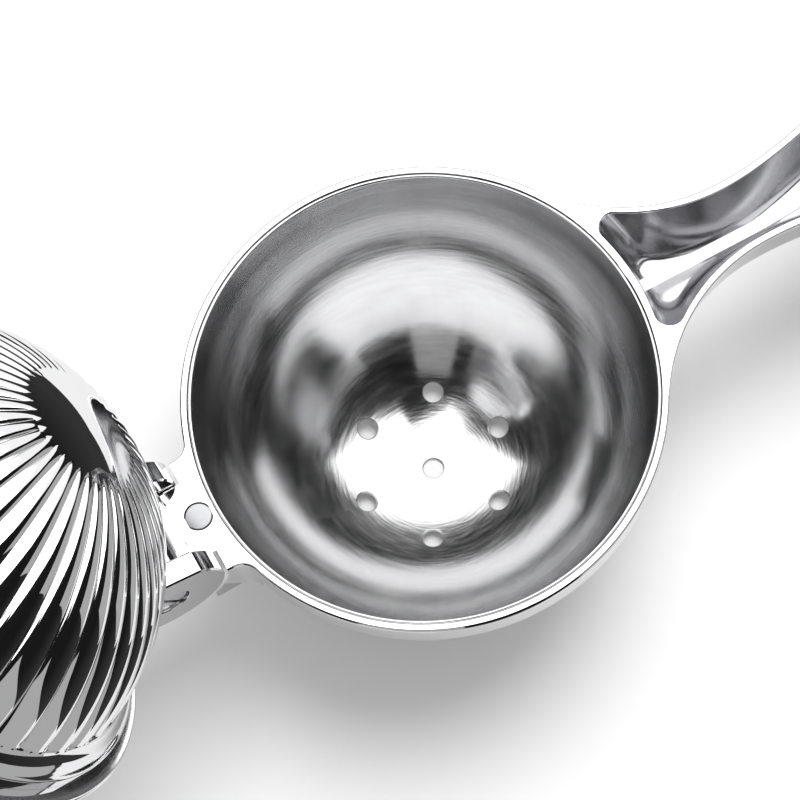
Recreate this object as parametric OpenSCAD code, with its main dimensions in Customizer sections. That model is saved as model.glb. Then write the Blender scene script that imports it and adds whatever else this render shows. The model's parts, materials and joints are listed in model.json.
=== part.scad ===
// Hinged hand press for citrus halves: a brushed cup with drain holes, and a ribbed dome on a
// lever that folds over into it.
// Origin: centre of the cup's mouth, on the flat face where the two halves meet.
// +X runs along the bowl's handle, +Y along the hinge axis, +Z up out of the cup.
// All sizes are in millimetres. The lever is modelled shut, then turned open about the hinge.

/* [Cup] */
// Radius of the bore in both frame rings
mouth_r = 34; // [32:0.5:36]
// Wall thickness of the cup
cup_wall = 0.6; // [0.5:0.1:1]
// Length of the cup's straight wall above its half-round bottom
cup_straight = 6; // [4:0.5:8]
// Diameter of each drain hole
drain_d = 3.3; // [2.5:0.1:4]
// Radius of the circle of drain holes, measured on the cup's inner face
drain_ring_r = 12.1; // [10:0.1:14]
// Number of drain holes around the middle one
drain_count = 6; // [5:1:8]

/* [Frame ring] */
// Radial width of each ring's flat face
rim_w = 1.1; // [1:0.1:1.6]
// Height of each ring
ring_h = 6; // [5:0.5:7]
// Chamfer on the outer edge of each ring
rim_chamfer = 0.3; // [0.1:0.1:0.5]
// Gap between the two frames when the press is shut
shut_gap = 0.15; // [0.1:0.05:0.3]

/* [Dome] */
// Radius of the dome over its ribs
dome_r = 31; // [29:0.5:31.5]
// Height of the dome's centre above the parting face when shut
dome_lift = 3.5; // [3:0.5:5]
// Wall thickness of the dome
dome_wall = 1.6; // [1.4:0.1:2]
// Number of ribs around the dome
rib_count = 40; // [24:2:44]
// Depth of the groove between two ribs
groove_depth = 0.7; // [0.4:0.1:0.9]
// Width of the groove between two ribs
groove_w = 1.6; // [1:0.1:1.8]
// Angle from the dome's pole at which the ribs begin
rib_start = 20; // [16:1:30]
// Angle from the dome's pole at which the ribs end
rib_end = 76; // [60:1:76]
// Radius of the dome's lip, which enters the cup's mouth
lip_r = 32.8; // [32.6:0.1:33]
// Distance that the lip stands proud of the lever's ring
lip_drop = 1.5; // [1:0.1:2]

/* [Handles] */
// Distance from the cup's centre to the end of each handle
handle_end = 165; // [150:5:180]
// Half-width of a handle at its neck
neck_half = 5.7; // [5:0.1:6.5]
// Distance from the cup's centre to the neck
neck_x = 54; // [52:1:58]
// Half-width of the grip
grip_half = 11.5; // [9:0.5:13]
// Distance from the cup's centre to the start of the full grip width
grip_x = 92; // [88:1:104]
// Height of a handle at its root
root_h = 12.4; // [11:0.2:13]
// Height of a handle along its grip
grip_h = 9.6; // [8:0.2:11]
// Thickness of the wall around the handle's channel, at its top edge
wall = 1.2; // [1:0.1:1.6]
// Thickness of the channel's floor
floor_t = 1.6; // [1.2:0.1:2.4]
// Width of the gusset that stands in the channel beside the ring
gusset_w = 1.9; // [1.5:0.1:2.5]

/* [Hinge] */
// Distance from the cup's centre to the hinge axis
hinge_x = 46; // [45:0.5:48]
// Radius of each lever ear
ear_r = 8.8; // [8:0.1:9]
// Distance from the hinge axis to the flat on each ear's rim
ear_flat = 7.75; // [7.4:0.05:7.9]
// Half-width of the hinge over both ears
hinge_half = 9.1; // [8.8:0.1:10]
// Half-width of the middle knuckle's block
block_half = 5.6; // [5.4:0.1:5.8]
// Radius of the middle knuckle's barrel
barrel_r = 5; // [4.5:0.1:5.2]
// Angle from shut to fully open
open_angle = 117; // [100:1:117]
// Radius of the hinge sleeve
pin_r = 2; // [1.8:0.1:2.2]
// Radius of the sleeve's and the screw's heads
head_r = 3; // [2.8:0.1:3.2]
// Diameter of each magnet
magnet_d = 3.8; // [3:0.1:4]

/* [Hidden] */
$fn = 96;
eps = 0.01;
seat_gap = 0.02;
run_gap = 0.05;
cut = 1;
// Overlap that makes two round surfaces cross at a small angle where they would otherwise only touch
crossing = 0.05;

ring_r = mouth_r + rim_w;
cup_out_r = mouth_r - seat_gap;
cup_in_r = cup_out_r - cup_wall;
cup_sink = 0.15;

fillet_r = 2.5;
tab_h = 9.6;
notch_x = 36.7;
block_x = 40.3;
notch_r = 10;
heel_top = 1.6;
heel_x = 56;
lever_tab_h = 7.5;
knuckle_half = 5.1;
ear_in = block_half + 0.15;
ear_flat_tilt = 41;
washer_t = 0.5;
washer_r = 4.6;

magnet_x = 36.6;
magnet_h = 2.5;
magnet_gap = 0.2;

head_t = 0.9;
head_recess = 0.4;
screw_r = 1.2;
slot_w = 0.7;
slot_t = 0.4;

side_draft = tan(8);
channel_draft = tan(17);
corner_r = 2.6;
corner_steps = 4;
root_x = 29.6;
root_full_x = 36;
channel_end_gap = 5;
tip_len = 12;
gusset_end_x = 57;
gusset_top = 7.6;

// ---- Handle shape, as functions of the distance x from the cup's centre ----

// Radius of the flare that joins the ring to the neck, tangent to both
flare_r = (pow(neck_x, 2) + pow(neck_half, 2) - pow(ring_r, 2)) / (2 * (ring_r - neck_half));
tip_x = handle_end - tip_len;

// Smooth step from 0 to 1 between two distances
function blend(x, from, to) =
    x <= from ? 0 : x >= to ? 1 : (1 - cos(180 * (x - from) / (to - from))) / 2;

// Half-width at the top edge: the flare, the neck, the grip and the rounded tip
function half_width(x) =
    x < neck_x
    ? neck_half + flare_r - sqrt(pow(flare_r, 2) - pow(neck_x - x, 2))
    : (neck_half + (grip_half - neck_half) * blend(x, neck_x, grip_x))
      * (x <= tip_x ? 1 : sqrt(max(0.02, 1 - pow((x - tip_x) / tip_len, 2))));

// Height from the flat top down to the underside
function height(x) =
    ring_h + (root_h - ring_h) * blend(x, root_x, root_full_x)
    - (root_h - grip_h) * blend(x, root_full_x, grip_x);

// Outline of the handle across x: flat top, drafted sides and rounded lower corners
function outer_section(x) =
    let (w = half_width(x), h = height(x), r = min(corner_r, w / 2),
         side = w - min(side_draft * (h - r), w / 4))
    concat(
        [[w, 0]],
        [for (i = [0 : corner_steps])
            let (a = 90 * i / corner_steps) [side - r + r * cos(a), -h + r - r * sin(a)]],
        [for (i = [corner_steps : -1 : 0])
            let (a = 90 * i / corner_steps) [-side + r - r * cos(a), -h + r - r * sin(a)]],
        [[-w, 0]]);

// Outline of the channel across x, reaching above the flat top so that it cuts cleanly
function channel_section(x, scale_w) =
    let (top = (half_width(x) - wall) * scale_w,
         depth = height(x) - floor_t,
         low = max(0.4, top - channel_draft * depth))
    [[top + channel_draft * cut, cut], [low, -depth], [-low, -depth], [-top - channel_draft * cut, cut]];

// Stations along the handle, closer together round the tip
function stations(from, to, step) = [for (x = [from : step : to]) x];
outer_x = concat(stations(root_x, neck_x, 1.5), stations(neck_x + 2, tip_x - 1, 4),
                 [for (a = [0 : 10 : 80]) tip_x + tip_len * sin(a)], [handle_end]);

// Solid through a list of sections with the same number of points, each at its own x
module loft(xs, sections) {
    n = len(sections[0]);
    points = [for (i = [0 : len(xs) - 1]) for (p = sections[i]) [xs[i], p[0], p[1]]];
    sides = [for (i = [0 : len(xs) - 2]) for (j = [0 : n - 1])
        let (k = (j + 1) % n) [i * n + j, i * n + k, (i + 1) * n + k, (i + 1) * n + j]];
    first = [for (j = [n - 1 : -1 : 0]) j];
    last = [for (j = [0 : n - 1]) (len(xs) - 1) * n + j];
    polyhedron(points = points, faces = concat(sides, [first, last]), convexity = 6);
}

module handle_outer() {
    loft(outer_x, [for (x = outer_x) outer_section(x)]);
}

// The channel, kept clear of the ring so that its inner end follows the ring's curve
module handle_channel() {
    end_x = handle_end - channel_end_gap;
    round_x = end_x - tip_len;
    xs = concat(stations(root_x + 2, neck_x, 2), stations(neck_x + 3, round_x - 1, 5),
                [for (a = [0 : 15 : 75]) round_x + tip_len * sin(a)]);
    difference() {
        loft(xs, [for (x = xs)
            channel_section(x, x <= round_x ? 1 : sqrt(max(0.05, 1 - pow((x - round_x) / tip_len, 2))))]);
        cylinder(r = ring_r + 0.1, h = 100, center = true);
    }
}

// Triangular web that stiffens the channel beside the ring
module gusset() {
    floor_z = -(root_h - floor_t) - cut / 2;
    rotate([90, 0, 0])
        translate([0, 0, -gusset_w / 2])
            linear_extrude(gusset_w)
                polygon([[ring_r - 0.3, floor_z], [gusset_end_x, floor_z],
                         [gusset_end_x, floor_z + cut], [ring_r - 0.3, -gusset_top]]);
}

module handle() {
    difference() {
        handle_outer();
        handle_channel();
    }
    intersection() {
        gusset();
        handle_outer();
    }
}

// ---- Rings, tabs and knuckles ----

// Ring with a chamfered outer edge; its meeting face is at z = 0
module ring() {
    rotate_extrude()
        polygon([[mouth_r - cut, 0], [ring_r - rim_chamfer, 0], [ring_r, -rim_chamfer],
                 [ring_r, -ring_h], [mouth_r - cut, -ring_h]]);
}

// Round space that the cup or the dome's skirt takes inside a ring
module mouth_space() {
    translate([0, 0, -cup_straight])
        cylinder(r = mouth_r, h = cup_straight + 2 * cut);
    translate([0, 0, -cup_straight])
        sphere(r = mouth_r, $fn = 128);
}

// Concave fillet between the ring and one side of the hinge tab
module tab_fillet() {
    centre_y = hinge_half + fillet_r;
    centre_x = sqrt(pow(ring_r + fillet_r - crossing, 2) - pow(centre_y, 2));
    difference() {
        translate([-centre_x, hinge_half - eps])
            square([centre_x - mouth_r * cos(18), fillet_r]);
        translate([-centre_x, centre_y])
            circle(r = fillet_r);
    }
}

// Plan of the tab, out to its end at end_x
module tab_plan(end_x) {
    translate([-end_x, -hinge_half])
        square([end_x - mouth_r + 5, 2 * hinge_half]);
    tab_fillet();
    mirror([0, 1])
        tab_fillet();
}

module hinge_cylinder(r, y0, y1) {
    translate([-hinge_x, y0, 0])
        rotate([-90, 0, 0])
            cylinder(r = r, h = y1 - y0);
}

// Both sides of the hinge: the same piece at +Y and at -Y
module both_sides() {
    children();
    mirror([0, 1, 0])
        children();
}

module magnet_seat(z0, z1) {
    translate([-magnet_x, 0, z0])
        cylinder(d = magnet_d + 2 * magnet_gap, h = z1 - z0);
}

// Middle knuckle: block under the parting face, barrel round the pin, and the heel that stops
// the lever when it is fully open
module knuckle() {
    translate([-block_x, -block_half, -tab_h])
        cube([block_x - mouth_r + 2, 2 * block_half, tab_h]);
    translate([-hinge_x, -knuckle_half, -tab_h])
        cube([hinge_x - block_x + cut, 2 * knuckle_half, tab_h - 0.6]);
    hinge_cylinder(barrel_r, -knuckle_half, knuckle_half);
    translate([-heel_x, -knuckle_half, -tab_h])
        cube([heel_x - hinge_x, 2 * knuckle_half, tab_h + heel_top]);
}

// ---- Sub-parts ----

module bowl_frame() {
    color("gainsboro")
    difference() {
        union() {
            ring();
            handle();
            translate([0, 0, -tab_h])
                linear_extrude(tab_h)
                    tab_plan(notch_x + 3);
            knuckle();
        }
        mouth_space();
        both_sides()
            translate([-hinge_x - 0.7, block_half, 0])
                rotate([-90, 0, 0])
                    cylinder(r = notch_r, h = hinge_half);
        hinge_cylinder(pin_r + run_gap, -hinge_half, hinge_half);
        magnet_seat(-magnet_h - 0.1, cut);
    }
}

// Thin pressed cup: straight wall, half-round bottom and drain holes square to its wall
module juice_cup() {
    tilt = asin(drain_ring_r / cup_in_r);
    color("silver")
    difference() {
        union() {
            translate([0, 0, -cup_straight])
                cylinder(r = cup_out_r, h = cup_straight - cup_sink);
            translate([0, 0, -cup_straight])
                sphere(r = cup_out_r, $fn = 128);
        }
        translate([0, 0, -cup_sink])
            cylinder(r = mouth_r + cut, h = cup_out_r);
        translate([0, 0, -cup_straight])
            cylinder(r = cup_in_r, h = cup_straight);
        translate([0, 0, -cup_straight])
            sphere(r = cup_in_r, $fn = 128);
        translate([0, 0, -cup_straight]) {
            translate([0, 0, -cup_out_r - cut])
                cylinder(d = drain_d, h = 3 * cut, $fn = 48);
            for (i = [0 : drain_count - 1])
                rotate([0, 0, i * 360 / drain_count])
                    rotate([0, -tilt, 0])
                        translate([0, 0, -cup_out_r - cut])
                            cylinder(d = drain_d, h = 3 * cut, $fn = 48);
        }
    }
}

module magnet() {
    cylinder(d = magnet_d, h = magnet_h);
}

module bowl_magnet() {
    color("lightgray")
    translate([-magnet_x, 0, -magnet_h])
        magnet();
}

module thrust_washers() {
    color("whitesmoke")
    both_sides()
        difference() {
            hinge_cylinder(washer_r, knuckle_half + 0.07, knuckle_half + 0.07 + washer_t);
            hinge_cylinder(pin_r + run_gap, knuckle_half, hinge_half);
        }
}

// Everything on the lever is drawn shut and turned open together
module opened() {
    translate([-hinge_x, 0, 0])
        rotate([0, -open_angle, 0])
            translate([hinge_x, 0, 0])
                children();
}

// Each ear: a round cheek on the hinge axis with one flat, joined to the lever's tab
module ear() {
    difference() {
        hinge_cylinder(ear_r, ear_in, hinge_half);
        translate([-hinge_x, ear_in - cut, 0])
            rotate([0, ear_flat_tilt, 0])
                translate([ear_flat, 0, -ear_r])
                    cube([ear_r, hinge_half, 2 * ear_r]);
    }
    translate([-hinge_x, ear_in, shut_gap])
        cube([hinge_x - mouth_r + 2, hinge_half - ear_in, lever_tab_h]);
}

module lever_frame_shut() {
    difference() {
        union() {
            translate([0, 0, shut_gap])
                mirror([0, 0, 1]) {
                    ring();
                    handle();
                }
            translate([0, 0, shut_gap])
                linear_extrude(lever_tab_h)
                    tab_plan(block_x - 0.1);
            both_sides()
                ear();
        }
        translate([0, 0, -cut])
            cylinder(r = mouth_r, h = 30);
        hinge_cylinder(pin_r + seat_gap, -hinge_half - cut, hinge_half + cut);
        both_sides()
            hinge_cylinder(head_r + 0.15, hinge_half - head_t - head_recess, hinge_half + cut);
        magnet_seat(-cut, shut_gap + magnet_h + 0.1);
    }
}

module lever_frame() {
    color("gainsboro")
    opened()
        lever_frame_shut();
}

// One groove between two ribs, along a line of longitude on the dome
module rib_groove() {
    rotate([90, 0, 0])
        rotate([0, 0, rib_start - 90])
            rotate_extrude(angle = rib_end - rib_start)
                polygon([[dome_r - groove_depth, 0], [dome_r + 0.2, -groove_w / 2],
                         [dome_r + 0.2, groove_w / 2]]);
}

// Concave sweep from the end of the ribs out to the lip, all but tangent to the dome
module cove() {
    lip_depth = dome_lift + lip_drop;
    tangent_r = (pow(lip_r, 2) + pow(lip_depth, 2) - pow(dome_r, 2)) / (2 * (dome_r - lip_depth));
    cove_r = tangent_r + crossing;
    low = dome_lift - dome_r * (lip_depth + cove_r) / (dome_r + cove_r);
    rotate_extrude()
        difference() {
            translate([dome_r - 2, low])
                square([lip_r - dome_r + 2, cut - lip_drop - low]);
            translate([lip_r, -lip_drop - cove_r])
                circle(r = cove_r);
        }
}

// Hollow dome with its lip and the skirt that seats it in the lever's ring
module press_dome_shut() {
    lip_z = -lip_drop;
    difference() {
        union() {
            intersection() {
                translate([0, 0, dome_lift])
                    sphere(r = dome_r, $fn = 128);
                translate([0, 0, -dome_r])
                    cylinder(r = dome_r + cut, h = dome_r + ring_h);
            }
            translate([0, 0, lip_z])
                cylinder(r = lip_r, h = ring_h - lip_z);
            cove();
            translate([0, 0, shut_gap])
                cylinder(r = mouth_r - seat_gap, h = ring_h - shut_gap);
        }
        translate([0, 0, dome_lift])
            sphere(r = dome_r - dome_wall, $fn = 128);
        translate([0, 0, dome_lift])
            cylinder(r = dome_r - dome_wall, h = dome_r);
        for (i = [0 : rib_count - 1])
            translate([0, 0, dome_lift])
                rotate([0, 0, (i + 0.5) * 360 / rib_count])
                    rib_groove();
    }
}

module press_dome() {
    color("darkgray")
    opened()
        press_dome_shut();
}

module lever_magnet() {
    color("lightgray")
    opened()
        translate([-magnet_x, 0, shut_gap])
            magnet();
}

// Screwdriver slot across a head, cut into its outer face
module head_slot(y0, y1) {
    translate([-hinge_x - head_r - cut, y0, -slot_w / 2])
        cube([2 * (head_r + cut), y1 - y0, slot_w]);
}

// Sleeve nut: a head in the near ear and a barrel through both ears
module hinge_sleeve() {
    face = hinge_half - head_recess;
    color("silver")
    opened()
        difference() {
            union() {
                hinge_cylinder(head_r, -face, -face + head_t - eps);
                hinge_cylinder(pin_r, -face, face - head_t - 0.1);
            }
            hinge_cylinder(screw_r + seat_gap, -face + head_t, hinge_half);
            head_slot(-face - cut, -face + slot_t);
        }
}

// Screw: a head in the far ear and a shank inside the sleeve
module hinge_screw() {
    face = hinge_half - head_recess;
    color("silver")
    opened()
        difference() {
            union() {
                hinge_cylinder(head_r, face - head_t + eps, face);
                hinge_cylinder(screw_r, -face + head_t + 1, face);
            }
            head_slot(face - slot_t, face + cut);
        }
}

bowl_frame();
juice_cup();
bowl_magnet();
thrust_washers();
lever_frame();
press_dome();
lever_magnet();
hinge_sleeve();
hinge_screw();
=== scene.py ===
"""Looks of a hinged citrus press: polished castings, a brushed drilled cup and a ribbed dome.

Shapes are worked out in millimetres in the part's frame, with the lever drawn shut and then turned
open about the hinge. A finished piece is scaled to metres when it is handed in.
"""

import json
import math

import bpy
import bmesh
import numpy as np
from mathutils import Matrix, Vector

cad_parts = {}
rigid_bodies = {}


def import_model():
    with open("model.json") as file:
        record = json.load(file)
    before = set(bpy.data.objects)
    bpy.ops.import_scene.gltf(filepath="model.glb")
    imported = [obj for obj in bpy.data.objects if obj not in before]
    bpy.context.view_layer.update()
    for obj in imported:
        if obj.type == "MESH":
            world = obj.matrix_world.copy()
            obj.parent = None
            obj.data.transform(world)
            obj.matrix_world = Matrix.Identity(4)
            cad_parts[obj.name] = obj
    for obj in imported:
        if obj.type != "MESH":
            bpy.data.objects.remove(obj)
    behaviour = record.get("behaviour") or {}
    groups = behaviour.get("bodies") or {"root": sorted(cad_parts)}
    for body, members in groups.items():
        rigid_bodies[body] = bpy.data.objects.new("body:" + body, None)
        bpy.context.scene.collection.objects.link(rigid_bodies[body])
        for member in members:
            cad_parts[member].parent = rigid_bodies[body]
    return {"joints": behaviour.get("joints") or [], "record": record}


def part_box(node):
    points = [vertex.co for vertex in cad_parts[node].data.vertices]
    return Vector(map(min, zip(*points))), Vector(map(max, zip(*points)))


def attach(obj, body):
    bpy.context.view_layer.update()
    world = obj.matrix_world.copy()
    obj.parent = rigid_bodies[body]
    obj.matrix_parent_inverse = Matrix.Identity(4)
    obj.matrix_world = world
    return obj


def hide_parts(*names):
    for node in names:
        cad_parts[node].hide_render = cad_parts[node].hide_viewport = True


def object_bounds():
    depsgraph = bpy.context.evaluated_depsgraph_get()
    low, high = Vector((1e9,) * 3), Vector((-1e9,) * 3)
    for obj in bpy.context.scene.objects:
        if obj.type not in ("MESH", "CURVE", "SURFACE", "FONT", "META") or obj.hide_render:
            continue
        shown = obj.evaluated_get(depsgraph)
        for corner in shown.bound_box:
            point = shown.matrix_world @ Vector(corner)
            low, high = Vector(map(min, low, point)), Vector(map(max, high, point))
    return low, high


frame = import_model()
cad_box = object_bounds()

MM = 0.001

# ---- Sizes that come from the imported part, in millimetres ----

HINGE = frame["joints"][0]
OPEN_ANGLE = math.radians(HINGE["range_deg"][1])
HINGE_X = HINGE["pos_m"][0] / MM
MOUTH_MOUNT = next(m for m in frame["record"]["mounts"] if m["name"] == "cup_mouth")
CUP_IN_R = MOUTH_MOUNT["dims"]["r_mm"]
CUP_OUT_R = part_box("juice_cup")[1].x / MM
CUP_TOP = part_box("juice_cup")[1].z / MM
CUP_STRAIGHT = -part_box("juice_cup")[0].z / MM - CUP_OUT_R
RING_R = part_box("bowl_frame")[1].y / MM
HANDLE_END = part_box("bowl_frame")[1].x / MM
FLOOR_Z = cad_box[0].z

# ---- Sizes of the shapes, in millimetres ----

# Ring
MOUTH_R = CUP_OUT_R + 0.02
MOUTH_CHAMFER = 0.1
RING_H = 6.0
RING_UNDER_R = 0.5
EDGE_R = 0.3
OUTER_EDGE_R = 0.4
SHUT_GAP = 0.15

# Dome: polar angles are in degrees from the middle of its cap
DOME_R = 31.0
DOME_LIFT = 3.5
DOME_WALL = 1.6
RIBS = 40
RIB_DEPTH = 0.68
RIB_ROUNDNESS = 0.92
RIB_START = 15.5
RIB_RISEN = 24.0
RIB_SINKING = 74.5
RIB_END = 77.5
RIB_FADE_IN = 7.0
RIB_FADE_OUT = 2.5
RIB_FULL_DEPTH_FROM = math.radians(45)
LIP_R = 32.8
LIP_DROP = 1.5
LIP_EDGE_R = 0.25

# Drain holes
DRAIN_D = 3.3
DRAIN_RING_R = 12.1
DRAINS = 6
DRAIN_FLARE = 0.12
DRILL_CONE_R = 0.6
DRILL_CONE_H = 0.48

# Handle and its channel
NECK_X = 54.0
NECK_HALF = 5.7
GRIP_X = 92.0
GRIP_HALF = 11.5
ROOT_X = 29.6
ROOT_FULL_X = 36.0
ROOT_H = 12.4
GRIP_H = 9.6
TIP_LEN = 12.0
WALL = 1.2
FLOOR_T = 1.6
SIDE_DRAFT = math.tan(math.radians(8))
CHANNEL_LEAN = math.radians(17)
CORNER_R = 2.6
POCKET_R = RING_R + 0.1
POCKET_CORNER_R = 2.2
POCKET_FILLET = 1.5
CHANNEL_END_GAP = 5.0
GUSSET_W = 1.9
GUSSET_TOP = 7.6
GUSSET_START_X = RING_R - 0.3
GUSSET_END_X = 57.0
RIDGE_END_X = 148.0
RIDGE_H = 0.3

# Hinge
HINGE_HALF = 9.1
TAB_H = 9.6
LEVER_TAB_H = 7.5
FILLET_R = 2.5
NOTCH_X = 36.7
NOTCH_R = 10.0
NOTCH_SHIFT = 0.7
TAB_END_X = NOTCH_X + 3.0
BLOCK_X = 40.3
BLOCK_HALF = 5.6
KNUCKLE_HALF = 5.1
BARREL_R = 5.0
BARREL_CHAMFER = 0.2
HEEL_X = 56.0
HEEL_TOP = 1.6
EAR_R = 8.8
EAR_FLAT = 7.75
EAR_FLAT_ANGLE = math.radians(-41)
EAR_IN = 5.75
EAR_BEVEL = 0.25
PIN_R = 2.0
PIN_PLAY = 0.05
HEAD_R = 3.0
HEAD_T = 0.9
HEAD_RECESS = 0.4
HEAD_CHAMFER = 0.2
SCREW_R = 1.2
SLOT_W = 0.7
SLOT_T = 0.4
WASHER_R = 4.6
WASHER_T = 0.5
WASHER_GAP = 0.07
WASHER_CHAMFER = 0.08

# Magnets
MAGNET_X = 36.6
MAGNET_R = 1.9
MAGNET_H = 2.5
MAGNET_GAP = 0.2
MAGNET_EDGE_R = 0.12

# How far a shape runs into its neighbour, or a cutter past what it cuts
LAP = 2.0
TAB_LAP = 6.0
PAST = 1.0
MOUTH_PAST = 5.0
LEVER_MOUTH_TOP = 30.0

# Fineness of the meshes
ROUND = 256
BARREL_ROUND = 128
NOTCH_ROUND = 160
SMALL_ROUND = 64
DRILL_ROUND = 48
POINTS_PER_RIB = 16
HANDLE_STEP = 0.8
POCKET_END_STEPS = 10
POCKET_CORNER_STEPS = 8
POCKET_SIDE_POINTS = 120
POCKET_LEVELS = [0, 0.25, 0.5, 0.75] + list(np.linspace(1, 2, 7)) + list(np.linspace(2, 3, 6)[1:])
WELD = 1e-4

# ---- Mesh helpers ----


def welded(mesh, outwards=False):
    """Merges points that coincide and splits faces of more than four corners into triangles."""
    build = bmesh.new()
    build.from_mesh(mesh)
    bmesh.ops.remove_doubles(build, verts=build.verts, dist=WELD)
    bmesh.ops.dissolve_degenerate(build, edges=build.edges, dist=WELD / 10)
    many_sided = [face for face in build.faces if len(face.verts) > 4]
    bmesh.ops.triangulate(build, faces=many_sided)
    if outwards:
        bmesh.ops.recalc_face_normals(build, faces=build.faces)
    build.to_mesh(mesh)
    build.free()
    return mesh


def new_object(name, points, faces):
    """A mesh object from points and faces, welded and with its faces turned outwards."""
    mesh = bpy.data.meshes.new(name)
    mesh.from_pydata(np.asarray(points, float).tolist(), [], faces)
    made = bpy.data.objects.new(name, welded(mesh, outwards=True))
    bpy.context.scene.collection.objects.link(made)
    return made


def quads(rows, cols, close_rows=False):
    """Faces of a grid of points whose columns go all the way round."""
    faces = []
    for i in range(rows if close_rows else rows - 1):
        below = (i + 1) % rows
        for j in range(cols):
            right = (j + 1) % cols
            faces.append((i * cols + j, i * cols + right, below * cols + right, below * cols + j))
    return faces


def arc(centre_u, centre_v, radius, start, end, steps):
    """Points on an arc in a plane, from one angle to another in degrees, both ends included."""
    angles = np.radians(np.linspace(start, end, steps + 1))
    return [(centre_u + radius * math.cos(a), centre_v + radius * math.sin(a)) for a in angles]


def turned_points(profile, around=ROUND):
    """Points of a (radius, height) profile turned about Z, as rows of a grid."""
    profile = np.array(profile, float)
    angles = np.linspace(0, 2 * math.pi, around, endpoint=False)
    grid = np.zeros((len(profile), around, 3))
    grid[:, :, 0] = profile[:, :1] * np.cos(angles)
    grid[:, :, 1] = profile[:, :1] * np.sin(angles)
    grid[:, :, 2] = profile[:, 1:]
    return grid


def solid_from_grid(name, grid, pole_to_pole=False):
    """A closed solid from rows that each go round.

    The last row joins up with the first, unless both are single points on the axis.
    """
    rows, cols = grid.shape[:2]
    return new_object(name, grid.reshape(-1, 3), quads(rows, cols, close_rows=not pole_to_pole))


def turned(name, profile, around=ROUND):
    """A closed solid turned about Z from a (radius, height) profile."""
    pole_to_pole = profile[0][0] == 0 and profile[-1][0] == 0
    return solid_from_grid(name, turned_points(profile, around), pole_to_pole)


def disc(name, radius, z0, z1, around=ROUND):
    """A plain round plate or bar about Z."""
    return turned(name, [(0.0, z0), (radius, z0), (radius, z1), (0.0, z1)], around)


def lofted(name, sections):
    """A solid through closed sections with the same number of points, capped at both ends."""
    sections = np.asarray(sections, float)
    rows, cols = sections.shape[:2]
    faces = quads(rows, cols)
    faces.append(tuple(range(cols)))
    faces.append(tuple((rows - 1) * cols + j for j in range(cols)))
    return new_object(name, sections.reshape(-1, 3), faces)


def combine(target, tool, operation):
    """Joins, cuts or intersects two solids and drops the tool."""
    modifier = target.modifiers.new(operation, "BOOLEAN")
    modifier.operation = operation
    modifier.solver = "EXACT"
    modifier.object = tool
    bpy.context.view_layer.update()
    graph = bpy.context.evaluated_depsgraph_get()
    result = bpy.data.meshes.new_from_object(target.evaluated_get(graph))
    target.modifiers.clear()
    target.data = welded(result)
    bpy.data.objects.remove(tool)
    return target


def join(target, tool):
    return combine(target, tool, "UNION")


def cut(target, tool):
    return combine(target, tool, "DIFFERENCE")


def moved(made, matrix):
    made.data.transform(matrix)
    return made


def along_y(made):
    """Turns a solid made along Z so that it runs along Y through the hinge."""
    turn = Matrix.Rotation(-math.pi / 2, 4, "X")
    return moved(made, Matrix.Translation((HINGE_X, 0, 0)) @ turn)


def opened(made):
    """Turns a lever piece from shut to fully open."""
    hinge = Vector((HINGE_X, 0, 0))
    turn = Matrix.Rotation(-OPEN_ANGLE, 4, "Y")
    return moved(made, Matrix.Translation(hinge) @ turn @ Matrix.Translation(-hinge))


def flipped(made):
    """Mirrors a bowl-side shape to the lever's side of the parting face."""
    mirror = Matrix.Translation((0, 0, SHUT_GAP)) @ Matrix.Scale(-1, 4, (0, 0, 1))
    made.data.transform(mirror)
    made.data.flip_normals()
    return made


def shade(made, sharp_angle=35):
    """Smooth shading that keeps flat faces flat and edges past an angle sharp."""
    made.data.shade_smooth()
    made.data.set_sharp_from_angle(angle=math.radians(sharp_angle))
    weighted = made.modifiers.new("flat_faces", "WEIGHTED_NORMAL")
    weighted.keep_sharp = True
    weighted.weight = 100
    return made


# ---- Handle shape, as functions of the distance x from the cup's centre ----

FLARE_R = (NECK_X**2 + NECK_HALF**2 - RING_R**2) / (2 * (RING_R - NECK_HALF))
TIP_X = HANDLE_END - TIP_LEN
CHANNEL_DRAFT = math.tan(CHANNEL_LEAN)


def blend(x, start, end):
    """Goes smoothly from 0 at start to 1 at end."""
    t = np.clip((np.asarray(x, float) - start) / (end - start), 0, 1)
    return (1 - np.cos(math.pi * t)) / 2


def half_width(x):
    """Half-width at the top edge: the flare beside the ring, the neck, the grip, the round tip."""
    if x < NECK_X:
        return NECK_HALF + FLARE_R - math.sqrt(FLARE_R**2 - (NECK_X - x) ** 2)
    width = NECK_HALF + (GRIP_HALF - NECK_HALF) * float(blend(x, NECK_X, GRIP_X))
    if x <= TIP_X:
        return width
    return width * math.sqrt(max(0.02, 1 - ((x - TIP_X) / TIP_LEN) ** 2))


def height(x):
    """Height of the handle, tallest just outside the ring."""
    rise = (ROOT_H - RING_H) * float(blend(x, ROOT_X, ROOT_FULL_X))
    return RING_H + rise - (ROOT_H - GRIP_H) * float(blend(x, ROOT_FULL_X, GRIP_X))


def tip_lift(x):
    """How far the underside rises to round off the handle's end."""
    inside = x - (HANDLE_END - CORNER_R)
    if inside <= 0:
        return 0.0
    return CORNER_R - math.sqrt(max(0.0, CORNER_R**2 - inside**2))


def mirrored_section(x, half):
    """A full section across x from its +Y half, listed from the top down."""
    return [(x, y, z) for y, z in half] + [(x, -y, z) for y, z in reversed(half)]


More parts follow.
